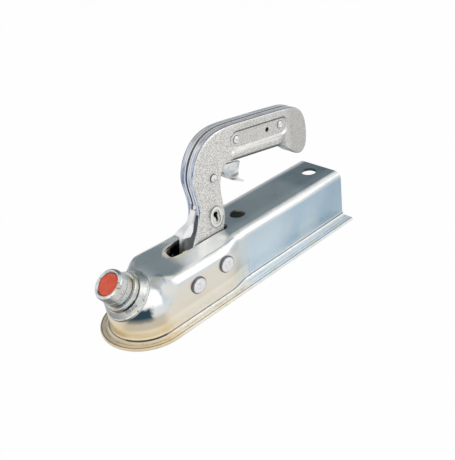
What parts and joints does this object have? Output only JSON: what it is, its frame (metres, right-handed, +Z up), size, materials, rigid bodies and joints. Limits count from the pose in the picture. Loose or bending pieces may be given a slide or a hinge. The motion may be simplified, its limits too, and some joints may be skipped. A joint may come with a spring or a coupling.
{
  "type": "trailer coupling head",
  "caption": "Pressed steel ball coupling head for a light trailer drawbar, with a lifting locking handle, a finger-operated safety catch and an angled pressure adjuster with a red plug.",
  "frame": {"origin": "centre of the 50 mm ball when it is coupled, where mount ball_socket stands", "axes": "+X runs back along the drawbar and is the longest extent, +Y is sideways and the shortest extent, +Z is up"},
  "size_m": [0.244, 0.0728, 0.125],
  "materials": {
    "zinc_sheet": "bright zinc plating with faint colour bands",
    "zinc_turned": "turned and zinc plated",
    "handle_steel": "finely grained zinc plating",
    "rivet_steel": "dull zinc plating",
    "spring_steel": "oiled spring wire",
    "jaw_iron": "phosphated casting",
    "lining": "dark friction lining",
    "red_plastic": "orange red, slightly dull"
  },
  "bodies": {
    "head": {"housing": "zinc_sheet", "neck_collar": "zinc_sheet", "adjuster_sleeve": "zinc_turned", "adjuster_cap": "zinc_turned", "red_plug": "red_plastic", "disc_springs": "spring_steel", "handle_pivot_rivet": "rivet_steel", "jaw_pivot_rivet": "rivet_steel", "handle_spacers": "zinc_turned", "jaw_spacers": "zinc_turned", "jaw_spring": "spring_steel"},
    "handle": {"handle_shell_near": "handle_steel", "handle_shell_far": "handle_steel", "handle_pivot_bush": "zinc_turned", "cam_pin": "rivet_steel", "cam_sleeve": "zinc_turned", "catch_rivet": "rivet_steel", "grip_rivets": "rivet_steel", "lock_insert": "handle_steel", "catch_spring": "spring_steel"},
    "jaw": {"closing_jaw": "jaw_iron", "jaw_lining": "lining"},
    "catch": {"catch_lever": "zinc_sheet", "catch_nose": "zinc_sheet", "finger_plate": "zinc_sheet"},
    "pad": {"pressure_pad": "lining"}
  },
  "joints": [
    {"name": "handle_lift", "type": "hinge", "parent": "head", "child": "handle", "pos_m": [0.0615, 0, 0.0155], "axis": [0, -1, 0], "range_deg": [0, 30]},
    {"name": "jaw_swing", "type": "hinge", "parent": "head", "child": "jaw", "pos_m": [0.032, 0, 0.0128], "axis": [0, -1, 0], "range_deg": [0, 18]},
    {"name": "catch_squeeze", "type": "hinge", "parent": "handle", "child": "catch", "pos_m": [0.0776, 0, 0.0764], "axis": [0, -1, 0], "range_deg": [0, 10], "stiffness_Nm_per_rad": 0.4, "springref_deg": -20.05},
    {"name": "pad_press", "type": "slide", "parent": "head", "child": "pad", "axis": [-0.5934, 0, 0.8049], "range_m": [0, 0.0006], "stiffness_N_per_m": 20000, "springref_m": -0.0002}
  ],
  "couplings": [
    {"joint": "jaw_swing", "follows": "handle_lift", "ratio": 0.6}
  ]
}
